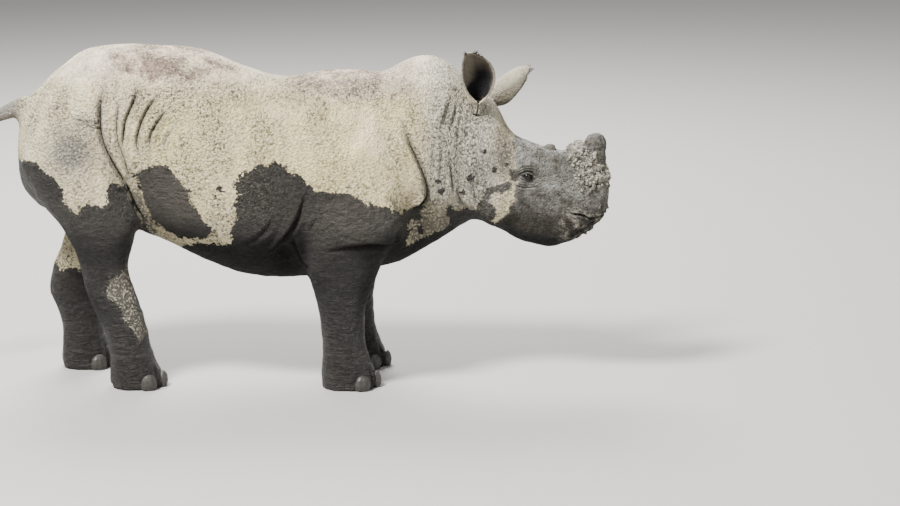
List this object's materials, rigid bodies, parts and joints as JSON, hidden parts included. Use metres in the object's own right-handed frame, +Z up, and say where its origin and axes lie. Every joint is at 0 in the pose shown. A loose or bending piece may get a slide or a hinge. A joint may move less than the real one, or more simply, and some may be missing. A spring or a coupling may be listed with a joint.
{
  "type": "white rhinoceros calf",
  "caption": "Standing white rhinoceros calf, life size, head low, tail held out, hide coated with dried and wet mud.",
  "frame": {"origin": "on the floor under the middle of the whole animal's box", "axes": "+X the way the animal faces, +Y its left side, +Z up"},
  "size_m": [2.2718, 0.5634, 1.1431],
  "materials": {
    "dried_mud_hide": "thick grey hide coated with dried pale mud, matt",
    "wet_mud_hide": "thick grey hide coated with dark wet mud, satin",
    "horn": "keratin horn caked with mud, matt",
    "nail": "keratin nail, worn satin",
    "eye": "wet dark brown eyeball",
    "bristle": "stiff black tail hair"
  },
  "bodies": {
    "root": {"ear_left": "dried_mud_hide", "ear_right": "dried_mud_hide", "eye_left": "eye", "eye_right": "eye", "forefoot_left": "wet_mud_hide", "forefoot_right": "wet_mud_hide", "foreleg_left": "wet_mud_hide", "foreleg_right": "wet_mud_hide", "head": "dried_mud_hide", "hindfoot_left": "wet_mud_hide", "hindfoot_right": "wet_mud_hide", "horn_back": "horn", "horn_front": "horn", "nail_fore_left_inner": "nail", "nail_fore_left_middle": "nail", "nail_fore_left_outer": "nail", "nail_fore_right_inner": "nail", "nail_fore_right_middle": "nail", "nail_fore_right_outer": "nail", "nail_hind_left_inner": "nail", "nail_hind_left_middle": "nail", "nail_hind_left_outer": "nail", "nail_hind_right_inner": "nail", "nail_hind_right_middle": "nail", "nail_hind_right_outer": "nail", "neck": "dried_mud_hide", "shank_left": "wet_mud_hide", "shank_right": "wet_mud_hide", "shoulder_left": "dried_mud_hide", "shoulder_right": "dried_mud_hide", "tail": "dried_mud_hide", "tail_brush": "bristle", "thigh_left": "dried_mud_hide", "thigh_right": "dried_mud_hide", "trunk": "dried_mud_hide"}
  },
  "joints": []
}
